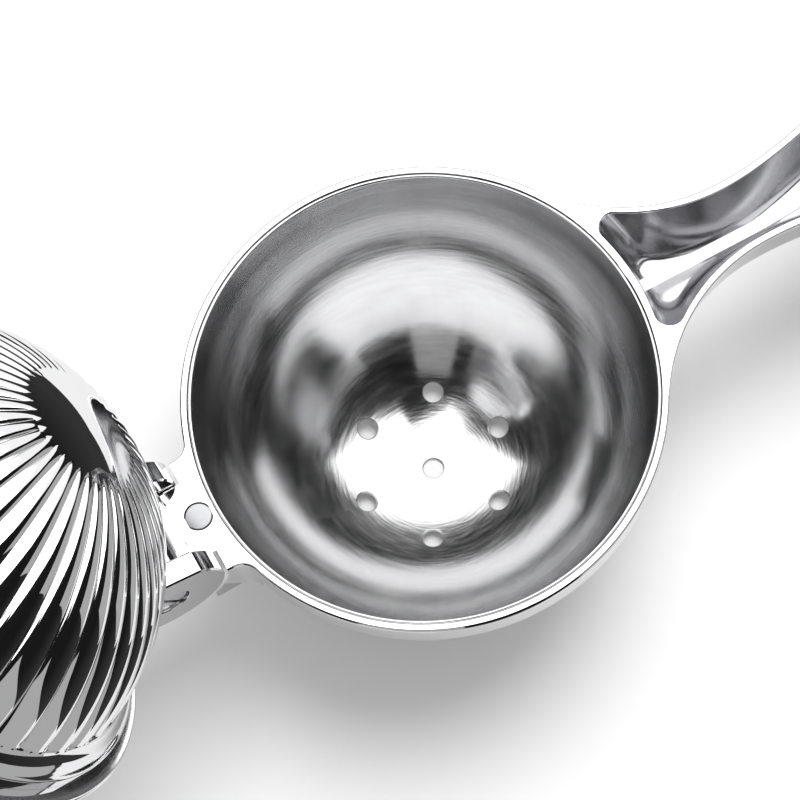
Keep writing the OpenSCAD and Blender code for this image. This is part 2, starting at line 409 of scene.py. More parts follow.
def outer_section(x):
    """Outside of the handle at x: a fine top edge, drafted sides and a round under-corner."""
    w = half_width(x)
    h = height(x) - tip_lift(x)
    corner = min(CORNER_R, w / 2)
    side = w - min(SIDE_DRAFT * (h - corner), w / 4)
    half = arc(w - OUTER_EDGE_R, -OUTER_EDGE_R, OUTER_EDGE_R, 90, 0, 5)
    half += arc(side - corner, corner - h, corner, 0, -90, 7)
    return mirrored_section(x, half)


def handle_outer():
    along = list(np.arange(ROOT_X, TIP_X, HANDLE_STEP))
    along += [TIP_X + TIP_LEN * math.sin(math.radians(a)) for a in range(0, 90, 5)]
    along.append(HANDLE_END)
    return lofted("handle", [outer_section(x) for x in along])


def pocket_depth(x):
    return height(min(x, TIP_X)) - FLOOR_T


def pocket_level(x, level):
    """How far in from its top edge, and how high, the channel's side is at one level.

    Level 0 to 1 is the rounded top edge, 1 to 2 the drafted wall and 2 to 3 the floor's fillet.
    """
    wall_end = pocket_depth(x) - POCKET_FILLET * (1 - math.sin(CHANNEL_LEAN))
    edge = min(level, 1) * math.pi / 2
    inset = -EDGE_R * (1 - math.sin(edge))
    down = EDGE_R * (1 - math.cos(edge))
    if level > 1:
        wall = (wall_end - EDGE_R) * min(level - 1, 1)
        inset += CHANNEL_DRAFT * wall
        down += wall
    if level > 2:
        turn = CHANNEL_LEAN + (math.pi / 2 - CHANNEL_LEAN) * (level - 2)
        inset += POCKET_FILLET * (math.cos(CHANNEL_LEAN) - math.cos(turn))
        down += POCKET_FILLET * (math.sin(turn) - math.sin(CHANNEL_LEAN))
    return inset, -down


def corner_centre(side, end_r):
    """The circle that rounds the corner between the channel's side and its arc beside the ring.

    Gives its centre, the x where it touches the side, and the side's outward angle there.
    """
    low = end_r * 0.7
    high = end_r + 12
    for _ in range(50):
        x = (low + high) / 2
        slope = (side(x + 0.01) - side(x - 0.01)) / 0.02
        length = math.hypot(1, slope)
        centre = (x + slope * POCKET_CORNER_R / length, side(x) - POCKET_CORNER_R / length)
        if math.hypot(*centre) < end_r + POCKET_CORNER_R:
            low = x
        else:
            high = x
    return centre, x, math.degrees(math.atan2(1, -slope))


def pocket_outline(level):
    """Half of the channel's outline at one level: end arc, round corner, side and round tip."""

    def side(x):
        return half_width(x) - WALL - pocket_level(x, level)[0]

    round_x = HANDLE_END - CHANNEL_END_GAP - TIP_LEN
    end_r = POCKET_R + pocket_level(POCKET_R, level)[0]
    tip = TIP_LEN - pocket_level(round_x, level)[0]
    (cx, cy), touch_x, outwards = corner_centre(side, end_r)
    towards_ring = math.degrees(math.atan2(-cy, -cx)) % 360
    half = arc(0, 0, end_r, 0, math.degrees(math.atan2(cy, cx)), POCKET_END_STEPS)[:-1]
    half += arc(cx, cy, POCKET_CORNER_R, towards_ring, outwards, POCKET_CORNER_STEPS)[:-1]
    half += [(x, side(x)) for x in np.linspace(touch_x, round_x, POCKET_SIDE_POINTS)]
    for turn in np.radians(np.linspace(0, 90, 16)[1:-1]):
        half.append((round_x + tip * math.sin(turn), side(round_x) * math.cos(turn)))
    half.append((round_x + tip, 0.0))
    return [(x, y, pocket_level(x, level)[1]) for x, y in half]


def pocket_cap(start, cols, last):
    """Faces that close one loop of the channel: the part round the ring, then a strip."""
    mirrored = [start + (cols - i) % cols for i in range(cols)]
    corner = POCKET_END_STEPS + POCKET_CORNER_STEPS
    faces = [tuple(start + i for i in range(corner + 1)) + tuple(mirrored[corner:0:-1])]
    for i in range(corner, last - 1):
        faces.append((start + i, start + i + 1, mirrored[i + 1], mirrored[i]))
    faces.append((start + last - 1, start + last, mirrored[last - 1]))
    return faces


def pocket_cutter():
    """The channel as a solid: rounded top edge, drafted walls and a fillet round the floor."""
    rows = [pocket_outline(level) for level in POCKET_LEVELS]
    rows.insert(0, [(x, y, PAST) for x, y, z in rows[0]])
    loops = [row + [(x, -y, z) for x, y, z in reversed(row[1:-1])] for row in rows]
    count = len(loops)
    cols = len(loops[0])
    last = len(rows[0]) - 1
    faces = quads(count, cols)
    faces += pocket_cap(0, cols, last)
    faces += pocket_cap((count - 1) * cols, cols, last)
    return new_object("pocket", np.array(loops).reshape(-1, 3), faces)


def gusset():
    """Triangular web in the channel beside the ring, running on as a low ridge along the floor."""
    along = np.linspace(GUSSET_END_X, RIDGE_END_X, 16)
    tops = [(GUSSET_START_X, -GUSSET_TOP)]
    tops += [(x, -pocket_depth(x) + RIDGE_H) for x in along]
    bottoms = [(x, -pocket_depth(x) - FLOOR_T / 2) for x, z in tops]
    side = tops + bottoms[::-1]
    half = GUSSET_W / 2
    return lofted("gusset", [[(x, y, z) for x, z in side] for y in (-half, half)])


def handle():
    made = cut(handle_outer(), pocket_cutter())
    web = combine(gusset(), handle_outer(), "INTERSECT")
    return join(made, web)


# ---- Parts of the castings ----


def ring_profile():
    """A flat ring with rounded outer edges, whose meeting face is at z = 0."""
    profile = [(MOUTH_R - LAP, 0.0)]
    profile += arc(RING_R - OUTER_EDGE_R, -OUTER_EDGE_R, OUTER_EDGE_R, 90, 0, 5)
    profile += arc(RING_R - RING_UNDER_R, -RING_H + RING_UNDER_R, RING_UNDER_R, 0, -90, 4)
    profile += [(MOUTH_R - LAP, -RING_H)]
    return profile


def mouth_cutter():
    """The round space that the cup fills, with a fine chamfer at its top edge."""
    top_r = MOUTH_R + MOUTH_CHAMFER
    profile = [(0.0, MOUTH_PAST), (top_r, MOUTH_PAST), (top_r, 0.0), (MOUTH_R, -MOUTH_CHAMFER)]
    profile += arc(0, -CUP_STRAIGHT, MOUTH_R, 0, -90, 48)[:-1]
    profile.append((0.0, -CUP_STRAIGHT - MOUTH_R))
    return turned("mouth", profile)


def tab_outline(inset, end_x):
    """Plan of the hinge tab with a concave fillet on each side where it meets the ring."""
    half = HINGE_HALF - inset
    fillet = FILLET_R + inset
    centre_y = half + fillet
    centre_x = math.sqrt((RING_R - inset + fillet) ** 2 - centre_y**2)
    ring_angle = math.degrees(math.atan2(-centre_y, centre_x))
    side = [(-end_x + inset, half), (-centre_x, half)]
    side += arc(-centre_x, centre_y, fillet, -90, ring_angle, 8)[1:]
    side.append((-MOUTH_R + TAB_LAP, side[-1][1]))
    return side + [(x, -y) for x, y in reversed(side)]


def tab(end_x, thickness):
    levels = [(OUTER_EDGE_R + u, v) for u, v in arc(0, -OUTER_EDGE_R, OUTER_EDGE_R, 90, 180, 5)]
    levels += [(0.0, -thickness + EDGE_R), (EDGE_R, -thickness)]
    return lofted("tab", [[(x, y, z) for x, y in tab_outline(inset, end_x)] for inset, z in levels])


def slab(outline, y0, y1, bevel=0.2):
    """A plate standing across Y from an outline in X and Z given as a function of its inset."""
    levels = [(bevel, y0), (0.0, y0 + bevel), (0.0, y1 - bevel), (bevel, y1)]
    return lofted("slab", [[(x, y, z) for x, z in outline(inset)] for inset, y in levels])


def box_outline(x0, x1, z0, z1, corner=0.3):
    """Outline of an upright box with rounded corners, as a function of its inset."""

    def outline(inset):
        low_x, high_x = x0 + corner + inset, x1 - corner - inset
        low_z, high_z = z0 + corner + inset, z1 - corner - inset
        points = arc(high_x, high_z, corner, 0, 90, 3)
        points += arc(low_x, high_z, corner, 90, 180, 3)
        points += arc(low_x, low_z, corner, 180, 270, 3)
        return points + arc(high_x, low_z, corner, 270, 360, 3)

    return outline


def pin_hole(radius, y0, y1, flare=0.0):
    """A cutter along the hinge axis, flared at both ends."""
    wide = radius + flare
    profile = [(0.0, y0), (wide, y0), (radius, y0 + flare)]
    profile += [(radius, y1 - flare), (wide, y1), (0.0, y1)]
    return along_y(turned("hole", profile, SMALL_ROUND))


def magnet_seat(z0, z1):
    seat = disc("seat", MAGNET_R + MAGNET_GAP, z0, z1, SMALL_ROUND)
    return moved(seat, Matrix.Translation((-MAGNET_X, 0, 0)))


# ---- Pieces of the bowl ----


def knuckle():
    """Middle knuckle: block beside the tab, barrel round the pin, and the heel behind it."""
    made = slab(box_outline(-BLOCK_X, -MOUTH_R + LAP, -TAB_H, 0.0), -BLOCK_HALF, BLOCK_HALF)
    end_r = BARREL_R - BARREL_CHAMFER
    end = KNUCKLE_HALF - BARREL_CHAMFER
    profile = [(0.0, -KNUCKLE_HALF), (end_r, -KNUCKLE_HALF), (BARREL_R, -end)]
    profile += [(BARREL_R, end), (end_r, KNUCKLE_HALF), (0.0, KNUCKLE_HALF)]
    join(made, along_y(turned("barrel", profile, BARREL_ROUND)))
    under = box_outline(HINGE_X - 4, -BLOCK_X + 1, -TAB_H, -0.6)
    join(made, slab(under, -KNUCKLE_HALF, KNUCKLE_HALF))
    heel = box_outline(-HEEL_X, HINGE_X, -TAB_H, HEEL_TOP)
    return join(made, slab(heel, -KNUCKLE_HALF, KNUCKLE_HALF))


def notched_tab():
    """The bowl's hinge tab, cut away in a curve on both sides to clear the lever's ears."""
    plate = tab(TAB_END_X, TAB_H)
    for side in (-1, 1):
        low, high = sorted((BLOCK_HALF * side, (HINGE_HALF + LAP) * side))
        notch = along_y(disc("notch", NOTCH_R, low, high, NOTCH_ROUND))
        cut(plate, moved(notch, Matrix.Translation((-NOTCH_SHIFT, 0, 0))))
    return plate


def bowl_casting():
    made = turned("bowl_casting", ring_profile())
    join(made, handle())
    join(made, join(notched_tab(), knuckle()))
    cut(made, mouth_cutter())
    cut(made, pin_hole(PIN_R + PIN_PLAY, -HINGE_HALF, HINGE_HALF))
    return cut(made, magnet_seat(-MAGNET_H - 0.1, PAST))


def drill():
    """Cutter for one drain hole through the cup's lowest point, coned on the inside."""
    r = DRAIN_D / 2
    inside = -CUP_IN_R
    outside = -CUP_OUT_R - PAST
    wide = r + DRILL_CONE_R
    profile = [(0.0, inside + LAP), (wide, inside + LAP), (wide, inside + DRILL_CONE_H)]
    profile += [(r + DRAIN_FLARE, inside + 0.02), (r, inside - DRAIN_FLARE)]
    profile += [(r, outside), (0.0, outside)]
    return turned("drill", profile, DRILL_ROUND)


def juice_cup():
    """Spun cup: thin wall with a rolled top edge, and drain holes square to the wall."""
    wall = CUP_OUT_R - CUP_IN_R
    rim_z = CUP_TOP - wall / 2
    profile = [(CUP_OUT_R, rim_z)]
    profile += arc(CUP_OUT_R - wall / 2, rim_z, wall / 2, 0, 180, 8)
    profile += [(CUP_IN_R, z) for z in np.linspace(rim_z, -CUP_STRAIGHT, 6)[1:-1]]
    profile += arc(0, -CUP_STRAIGHT, CUP_IN_R, 0, -90, 72)
    profile += arc(0, -CUP_STRAIGHT, CUP_OUT_R, -90, 0, 72)
    made = turned("juice_cup_shell", profile)
    tilt = Matrix.Rotation(-math.asin(DRAIN_RING_R / CUP_IN_R), 4, "Y")
    places = [Matrix.Identity(4)]
    places += [Matrix.Rotation(i * 2 * math.pi / DRAINS, 4, "Z") @ tilt for i in range(DRAINS)]
    for place in places:
        cut(made, moved(drill(), Matrix.Translation((0, 0, -CUP_STRAIGHT)) @ place))
    return made


def magnet_disc(name, bottom):
    """Small disc magnet with a rounded edge."""
    top = bottom + MAGNET_H
    edge = MAGNET_EDGE_R
    profile = [(0.0, bottom), (MAGNET_R - edge, bottom), (MAGNET_R, bottom + edge)]
    profile += arc(MAGNET_R - edge, top - edge, edge, 0, 90, 3) + [(0.0, top)]
    return moved(turned(name, profile, SMALL_ROUND), Matrix.Translation((-MAGNET_X, 0, 0)))


def washer(name, side):
    inner = PIN_R + PIN_PLAY
    near = KNUCKLE_HALF + WASHER_GAP
    low, high = sorted((near * side, (near + WASHER_T) * side))
    flat_r = WASHER_R - WASHER_CHAMFER
    profile = [(inner, low), (flat_r, low), (WASHER_R, low + WASHER_CHAMFER)]
    profile += [(WASHER_R, high - WASHER_CHAMFER), (flat_r, high), (inner, high)]
    return along_y(turned(name, profile, SMALL_ROUND))


# ---- Pieces of the lever, drawn shut ----


def ear_outline(inset):
    """Round cheek with a flat on its underside, running up into the lever's tab."""
    radius = EAR_R - inset
    low = SHUT_GAP + inset
    top = SHUT_GAP + LEVER_TAB_H - inset
    half_chord = math.acos((EAR_FLAT - inset) / radius)
    meet = math.degrees(math.asin(low / radius))
    flat_start = math.degrees(EAR_FLAT_ANGLE + half_chord)
    flat_end = math.degrees(EAR_FLAT_ANGLE - half_chord)
    points = [(-MOUTH_R + LAP, low)]
    points += arc(HINGE_X, 0, radius, meet, flat_start, 10)
    points += arc(HINGE_X, 0, radius, flat_end, -258, 80)
    return points + [(HINGE_X - 0.5, top), (-MOUTH_R + LAP, top)]


def lever_casting():
    made = flipped(turned("lever_casting", ring_profile()))
    join(made, flipped(handle()))
    join(made, flipped(tab(BLOCK_X - 0.1, LEVER_TAB_H)))
    for side in (-1, 1):
        low, high = sorted((EAR_IN * side, HINGE_HALF * side))
        join(made, slab(ear_outline, low, high, EAR_BEVEL))
    cut(made, disc("lever_mouth", MOUTH_R, -MOUTH_PAST, LEVER_MOUTH_TOP))
    cut(made, pin_hole(PIN_R + 0.02, -HINGE_HALF - PAST, HINGE_HALF + PAST))
    recess = HINGE_HALF - HEAD_T - HEAD_RECESS
    for side in (-1, 1):
        low, high = sorted((recess * side, (HINGE_HALF + 0.02) * side))
        cut(made, pin_hole(HEAD_R + 0.15, low, high, 0.12))
    return cut(made, magnet_seat(-PAST, SHUT_GAP + MAGNET_H + 0.1))


def rib_relief(polar, around):
    """How far the surface sinks below the dome's sphere: convex ribs with sharp valleys."""
    phase = (np.asarray(around) * RIBS / (2 * math.pi) + 0.5) % 1.0
    across = 2 * phase - 1
    lobe = 1 - np.sqrt(1 - RIB_ROUNDNESS * across**2)
    lobe = lobe / (1 - math.sqrt(1 - RIB_ROUNDNESS))
    fade_in = np.clip((polar - RIB_START) / RIB_FADE_IN, 0, 1)
    fade_out = np.clip((RIB_END - polar) / RIB_FADE_OUT, 0, 1)
    strength = np.sqrt(1 - (1 - fade_in) ** 2) * np.sqrt(1 - (1 - fade_out) ** 2)
    narrow = np.minimum(1.0, np.sin(np.radians(polar)) / math.sin(RIB_FULL_DEPTH_FROM))
    return RIB_DEPTH * strength * narrow * lobe


def dome_angles(meet):
    """Polar angles of the dome's rows, closest together where the ribs start and end."""
    end = max(meet, RIB_END - 0.6)
    stops = (0.0, RIB_START, RIB_RISEN, RIB_SINKING, end)
    counts = (10, 18, 64, 14)
    angles = [0.0]
    for start, stop, count in zip(stops, stops[1:], counts):
        angles += list(np.linspace(start, stop, count))[1:]
    return [a for a in angles if a <= meet]


def press_dome():
    """Hollow dome: smooth cap, ribs, a concave sweep to the lip, and the skirt in the ring."""
    lip_depth = DOME_LIFT + LIP_DROP
    cove_r = (LIP_R**2 + lip_depth**2 - DOME_R**2) / (2 * (DOME_R - lip_depth))
    meet = 90 - math.degrees(math.atan2(lip_depth + cove_r, LIP_R))
    polar = dome_angles(meet)
    turns = np.radians(polar)
    profile = [(DOME_R * math.sin(a), DOME_LIFT - DOME_R * math.cos(a)) for a in turns]
    profile += arc(LIP_R, -LIP_DROP - cove_r, cove_r, 90 + meet, 95, 12)
    profile += arc(LIP_R - LIP_EDGE_R, -LIP_DROP + LIP_EDGE_R, LIP_EDGE_R, -75, 0, 4)
    skirt_r = MOUTH_R - 0.02
    inner_r = DOME_R - DOME_WALL
    profile += [(LIP_R, SHUT_GAP), (skirt_r, SHUT_GAP), (skirt_r, RING_H), (inner_r, RING_H)]
    profile += [(inner_r, z) for z in np.linspace(RING_H, DOME_LIFT, 4)[1:-1]]
    profile += arc(0, DOME_LIFT, inner_r, 0, -90, 39)
    around = RIBS * POINTS_PER_RIB
    grid = turned_points(profile, around)
    angles = np.linspace(0, 2 * math.pi, around, endpoint=False)
    centre = np.array([0, 0, DOME_LIFT])
    for row, a in enumerate(polar):
        sink = rib_relief(a, angles)[:, None]
        grid[row] = centre + (grid[row] - centre) * (1 - sink / DOME_R)
    return solid_from_grid("dome_shell", grid, pole_to_pole=True)


def head_slot(y0, y1):
    """Cutter for a screwdriver slot across a head."""
    x0 = HINGE_X - HEAD_R - PAST
    x1 = HINGE_X + HEAD_R + PAST
    outline = [(x0, -SLOT_W / 2), (x1, -SLOT_W / 2), (x1, SLOT_W / 2), (x0, SLOT_W / 2)]
    return lofted("slot", [[(x, y, z) for x, z in outline] for y in (y0, y1)])


def hinge_sleeve():
    """Flat slotted head with a long barrel, bored for the screw."""
    face = HINGE_HALF - HEAD_RECESS
    head = HEAD_T - face
    end = face - HEAD_T - 0.1
    bore = SCREW_R + 0.02
    profile = [(0.0, -face), (HEAD_R - HEAD_CHAMFER, -face), (HEAD_R, -face + HEAD_CHAMFER)]
    profile += [(HEAD_R, head - 0.01), (PIN_R, head - 0.01), (PIN_R, end)]
    profile += [(bore, end), (bore, head), (0.0, head)]
    made = along_y(turned("hinge_sleeve_nut", profile, SMALL_ROUND))
    return cut(made, head_slot(-face - PAST, -face + SLOT_T))


def hinge_screw():
    """Slotted screw that closes the sleeve from the far ear."""
    face = HINGE_HALF - HEAD_RECESS
    head = face - HEAD_T + 0.01
    start = -face + HEAD_T + 1
    profile = [(0.0, start), (SCREW_R - 0.2, start), (SCREW_R, start + 0.2)]
    profile += [(SCREW_R, head), (HEAD_R, head), (HEAD_R, face - HEAD_CHAMFER)]
    profile += [(HEAD_R - HEAD_CHAMFER, face), (0.0, face)]
    made = along_y(turned("hinge_screw_pin", profile, SMALL_ROUND))
    return cut(made, head_slot(face - SLOT_T, face + PAST))


# ---- Materials ----


def add(tree, kind, inputs, **settings):
    """A node with its settings, and its inputs set to values or joined to other nodes' sockets."""
    made = tree.nodes.new(kind)
    for name, value in settings.items():
        setattr(made, name, value)
    for key, value in inputs.items():
        if isinstance(value, bpy.types.NodeSocket):
            tree.links.new(value, made.inputs[key])
        else:
            made.inputs[key].default_value = value
    return made


def math_node(tree, operation, first, second=0.0):
    return add(tree, "ShaderNodeMath", {0: first, 1: second}, operation=operation).outputs[0]


def summed(tree, first, second):
    return math_node(tree, "ADD", first, second)


def product(tree, first, second):
    return math_node(tree, "MULTIPLY", first, second)


def ramp(tree, value, low, high, from_low=0.0, from_high=1.0):
    """Maps a value from one range to another and holds it there."""
    inputs = {"Value": value, "From Min": from_low, "From Max": from_high}
    inputs.update({"To Min": low, "To Max": high})
    return add(tree, "ShaderNodeMapRange", inputs).outputs["Result"]


def spread(tree, value, low, high):
    """Spreads the middle of a noise, where nearly all its values lie, over a range."""
    return ramp(tree, value, low, high, from_low=0.3, from_high=0.7)


def noise(tree, place, scale, detail):
    inputs = {"Vector": place, "Scale": scale, "Detail": detail}
    return add(tree, "ShaderNodeTexNoise", inputs).outputs["Fac"]


def mixed_tint(tree, share, first, second):
    """A colour between two, taken by share."""
    factor, first_colour, second_colour = 0, 6, 7
    inputs = {factor: share, first_colour: (*first, 1), second_colour: (*second, 1)}
    return add(tree, "ShaderNodeMix", inputs, data_type="RGBA").outputs[2]


def start_material(name, metallic):
    """A node material, its tree, its main shader and the place on the piece in metres."""
    material = bpy.data.materials.new(name)
    material.use_nodes = True
    tree = material.node_tree
    shader = tree.nodes["Principled BSDF"]
    shader.inputs["Metallic"].default_value = metallic
    place = add(tree, "ShaderNodeTexCoord", {}).outputs["Object"]
    return material, tree, shader, place


def finish_surface(tree, shader, rough, tint):
    tree.links.new(rough, shader.inputs["Roughness"])
    tree.links.new(tint, shader.inputs["Base Color"])


def edge_wear(tree, width):
    """How near a sharp edge is: 0 on open faces and up to 1 where the surface turns."""
    rounded = add(tree, "ShaderNodeBevel", {"Radius": width}, samples=4).outputs["Normal"]
    true_normal = add(tree, "ShaderNodeNewGeometry", {}).outputs["Normal"]
    inputs = {0: rounded, 1: true_normal}
    dot = add(tree, "ShaderNodeVectorMath", inputs, operation="DOT_PRODUCT")
    return ramp(tree, dot.outputs["Value"], 1.0, 0.0, from_low=0.8, from_high=1.0)


def add_bump(tree, shader, relief, strength, depth):
    inputs = {"Height": relief, "Strength": strength, "Distance": depth}
    bump = add(tree, "ShaderNodeBump", inputs)
    tree.links.new(bump.outputs["Normal"], shader.inputs["Normal"])


def polished_chrome():
    """Mirror plating: faint waviness, patchy haze from handling, and duller worn edges."""
    material, tree, shader, place = start_material("polished_chrome", 1.0)
    haze = noise(tree, place, scale=55.0, detail=5.0)
    grain = noise(tree, place, scale=1400.0, detail=3.0)
    worn = edge_wear(tree, 0.35 * MM)
    rough = ramp(tree, haze, 0.018, 0.05, from_low=0.35, from_high=0.7)
    rough = summed(tree, rough, product(tree, grain, 0.012))
    rough = summed(tree, rough, product(tree, worn, 0.10))
    tint = mixed_tint(tree, worn, (0.90, 0.90, 0.91), (0.80, 0.79, 0.78))
    finish_surface(tree, shader, rough, tint)
    waves = noise(tree, place, scale=160.0, detail=2.0)
    add_bump(tree, shader, waves, strength=0.25, depth=0.03 * MM)
    return material


def satin_casting():
    """Blasted inner faces of the castings: a soft grey sheen with a fine grain."""
    material, tree, shader, place = start_material("satin_casting", 1.0)
    grain = noise(tree, place, scale=2200.0, detail=4.0)
    patches = noise(tree, place, scale=70.0, detail=3.0)
    rough = summed(tree, spread(tree, grain, 0.16, 0.22), spread(tree, patches, 0.0, 0.04))
    tint = mixed_tint(tree, grain, (0.50, 0.50, 0.51), (0.58, 0.58, 0.59))
    finish_surface(tree, shader, rough, tint)
    add_bump(tree, shader, grain, strength=0.12, depth=0.02 * MM)
    return material


def ring_place(tree, place, turns, lines):
    """Texture space in which noise is drawn out into rings round Z."""
    x, y, z = add(tree, "ShaderNodeSeparateXYZ", {0: place}).outputs
    around = math_node(tree, "ARCTAN2", y, x)
    squares = summed(tree, product(tree, x, x), product(tree, y, y))
    down = math_node(tree, "SUBTRACT", math_node(tree, "SQRT", squares), z)
    inputs = {0: product(tree, around, turns), 1: product(tree, down, lines)}
    return add(tree, "ShaderNodeCombineXYZ", inputs).outputs[0]


def brushed_cup_steel():
    """Spun steel: rings left by the tool, which stretch reflections across themselves."""
    material, tree, shader, place = start_material("brushed_cup_steel", 1.0)
    fine = noise(tree, ring_place(tree, place, 4.0, 3500.0), scale=1.0, detail=3.0)
    broad = noise(tree, ring_place(tree, place, 1.2, 900.0), scale=1.0, detail=3.0)
    lines = summed(tree, product(tree, fine, 0.6), product(tree, broad, 0.4))
    worn = edge_wear(tree, 0.25 * MM)
    rough = summed(tree, spread(tree, lines, 0.10, 0.18), product(tree, worn, 0.1))
    share = spread(tree, lines, 0.0, 1.0)
    tint = mixed_tint(tree, share, (0.54, 0.54, 0.55), (0.68, 0.68, 0.68))
    finish_surface(tree, shader, rough, tint)
    shader.inputs["Anisotropic"].default_value = 0.6
    shader.inputs["Anisotropic Rotation"].default_value = 0.25
    tangent = add(tree, "ShaderNodeTangent", {}, direction_type="RADIAL", axis="Z")
    tree.links.new(tangent.outputs["Tangent"], shader.inputs["Tangent"])
    add_bump(tree, shader, lines, strength=0.5, depth=0.04 * MM)
    return material


def brushed_nickel():
    """Small ground discs: straight fine lines and a light haze."""
    material, tree, shader, place = start_material("brushed_nickel", 1.0)
    inputs = {"Vector": place, "Scale": (400.0, 9000.0, 400.0)}
    stretched = add(tree, "ShaderNodeMapping", inputs).outputs[0]
    lines = noise(tree, stretched, scale=1.0, detail=3.0)
    worn = edge_wear(tree, 0.2 * MM)
    rough = summed(tree, spread(tree, lines, 0.22, 0.40), product(tree, worn, 0.15))
    tint = mixed_tint(tree, lines, (0.33, 0.33, 0.34), (0.44, 0.44, 0.45))
    finish_surface(tree, shader, rough, tint)
    add_bump(tree, shader, lines, strength=0.4, depth=0.02 * MM)
    return material


def turned_steel():
    """Screw and sleeve: satin steel with a fine grain and brighter rubbed edges."""
    material, tree, shader, place = start_material("turned_steel", 1.0)
    grain = noise(tree, place, scale=2500.0, detail=4.0)
    tint = mixed_tint(tree, edge_wear(tree, 0.2 * MM), (0.52, 0.52, 0.54), (0.85, 0.85, 0.86))
    finish_surface(tree, shader, spread(tree, grain, 0.24, 0.42), tint)
    add_bump(tree, shader, grain, strength=0.4, depth=0.03 * MM)
    return material


def washer_plastic():
    """Dark low-friction plastic with a dull moulded grain."""
    material, tree, shader, place = start_material("washer_plastic", 0.0)
    grain = noise(tree, place, scale=1800.0, detail=4.0)
    tint = mixed_tint(tree, grain, (0.035, 0.035, 0.038), (0.07, 0.07, 0.072))
    finish_surface(tree, shader, spread(tree, grain, 0.42, 0.62), tint)
    add_bump(tree, shader, grain, strength=0.3, depth=0.05 * MM)
    return material


# ---- Finishes and handing in ----

CHROME = polished_chrome()
SATIN = satin_casting()
CUP_STEEL = brushed_cup_steel()
NICKEL = brushed_nickel()
STEEL = turned_steel()
PLASTIC = washer_plastic()


def in_channel(x, y, z):
    """Whether a point on a bowl-side handle is on the channel's wall or floor."""
    if x < POCKET_R * 0.8 or x > HANDLE_END - CHANNEL_END_GAP + 0.1:
        return False
    if math.hypot(x, y) < POCKET_R - 0.05:
        return False
    side = half_width(x) - WALL - CHANNEL_DRAFT * (-z - EDGE_R) + 0.3
    return -pocket_depth(x) - 0.1 < z < -EDGE_R and abs(y) < side


def on_cheek(x, y):
    """Whether a point is on the flat side of the hinge."""
    return x < -MAGNET_X - 0.6 and abs(abs(y) - HINGE_HALF) < 0.02


def one_finish(made, material):
    made.data.materials.clear()
    made.data.materials.append(material)
    return made


def casting_finishes(made, on_lever=False):
    """Polish all over a casting, with satin in its channel and on its hinge cheeks."""
    one_finish(made, CHROME)
    made.data.materials.append(SATIN)
    for face in made.data.polygons:
        x, y, z = face.center
        if on_lever:
            z = SHUT_GAP - z
        if in_channel(x, y, z) or on_cheek(x, y):
            face.material_index = 1
    return made


def hand_in(made, body, node):
    """Scales a finished piece to metres, hangs it on its body and hides the part it stands in for.
    """
    made.data.transform(Matrix.Scale(MM, 4))
    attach(made, body)
    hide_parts(node)


def build_bowl():
    body = HINGE["parent"]
    hand_in(casting_finishes(shade(bowl_casting())), body, "bowl_frame")
    hand_in(one_finish(shade(juice_cup()), CUP_STEEL), body, "juice_cup")
    magnet = one_finish(shade(magnet_disc("bowl_magnet_disc", -MAGNET_H)), NICKEL)
    hand_in(magnet, body, "bowl_magnet")
    for name, side in (("thrust_washer_near", -1), ("thrust_washer_far", 1)):
        ring = one_finish(shade(washer(name, side)), PLASTIC)
        hand_in(ring, body, "thrust_washers")


def build_lever():
    body = HINGE["child"]
    casting = casting_finishes(shade(lever_casting()), on_lever=True)
    hand_in(opened(casting), body, "lever_frame")
    dome = one_finish(shade(press_dome()), CHROME)
    hand_in(opened(dome), body, "press_dome")
    magnet = one_finish(shade(magnet_disc("lever_magnet_disc", SHUT_GAP)), NICKEL)
    hand_in(opened(magnet), body, "lever_magnet")
    sleeve = one_finish(shade(hinge_sleeve()), STEEL)
    hand_in(opened(sleeve), body, "hinge_sleeve")
    screw = one_finish(shade(hinge_screw()), STEEL)
    hand_in(opened(screw), body, "hinge_screw")


build_bowl()
build_lever()

# ---- Stage ----

# Cards round the press are seen only in its polished surfaces. A standing card is given by the plan
# of its foot and the height of its top edge above the floor, and a lying card by its two long
# edges, all in millimetres.
DARK_WALL = [(-41, -114, 340), (30, -108, 340), (77, -92, 270), (100, -75, 200)]
DARK_WALL += [(190, -18, 140), (190, 90, 105), (110, 240, 80)]
DARK_BACK = [(110, 240, 120), (0, 250, 130), (-140, 220, 150), (-170, 70, 520)]
DARK_LEFT = [(-170, 70, 520), (-190, 0, 520), (-135, -75, 420), (-92, -77, 340)]
GREY_WALL = [(-92, -77, 200), (-41, -114, 200)]
LOW_GREY_WALL = [(30, -104, 110), (75, -88, 110), (97, -72, 110), (186, -14, 100)]
DARK_FLOOR = [(-49, -85), (-3, -57), (15, -92), (60, -88), (92, -66)]
DARK_FLOOR += [(120, 12), (118, 60), (79, 125)]
GREY_FLOOR_NEAR = [(-500, -500), (500, -500)]
GREY_FLOOR_FAR = [(-500, 500), (500, 500)]
CEILING_Z = 600
BRIGHT_CEILING_NEAR = [(-600, -100), (60, -100), (120, -500), (1400, -500)]
BRIGHT_CEILING_FAR = [(-600, 1400), (1400, 1400)]
DARK_CEILING_NEAR = [(-500, -600), (60, -600)]
DARK_CEILING_FAR = [(-500, -100), (60, -100)]

# Brightness of the cards. A dark card fades from its foot over the first part of its height.
DARK_FOOT = 0.035
DARK_TOP = 0.01
DARK_FADE_H = 110
GREY = 0.42
CEILING = 2.4
GREY_PAPER = 0.78

# Room and lamp
SURROUNDINGS = 1.0
SURROUNDINGS_AS_LIGHT = 0.62
FLOOR_HALF = 4000
FLOOR_SLAB = 20
LAMP_SIZE = 1.8
LAMP_ENERGY = 66.0
LAMP_PLACE = Vector((0.9, 0.6, 2.85))


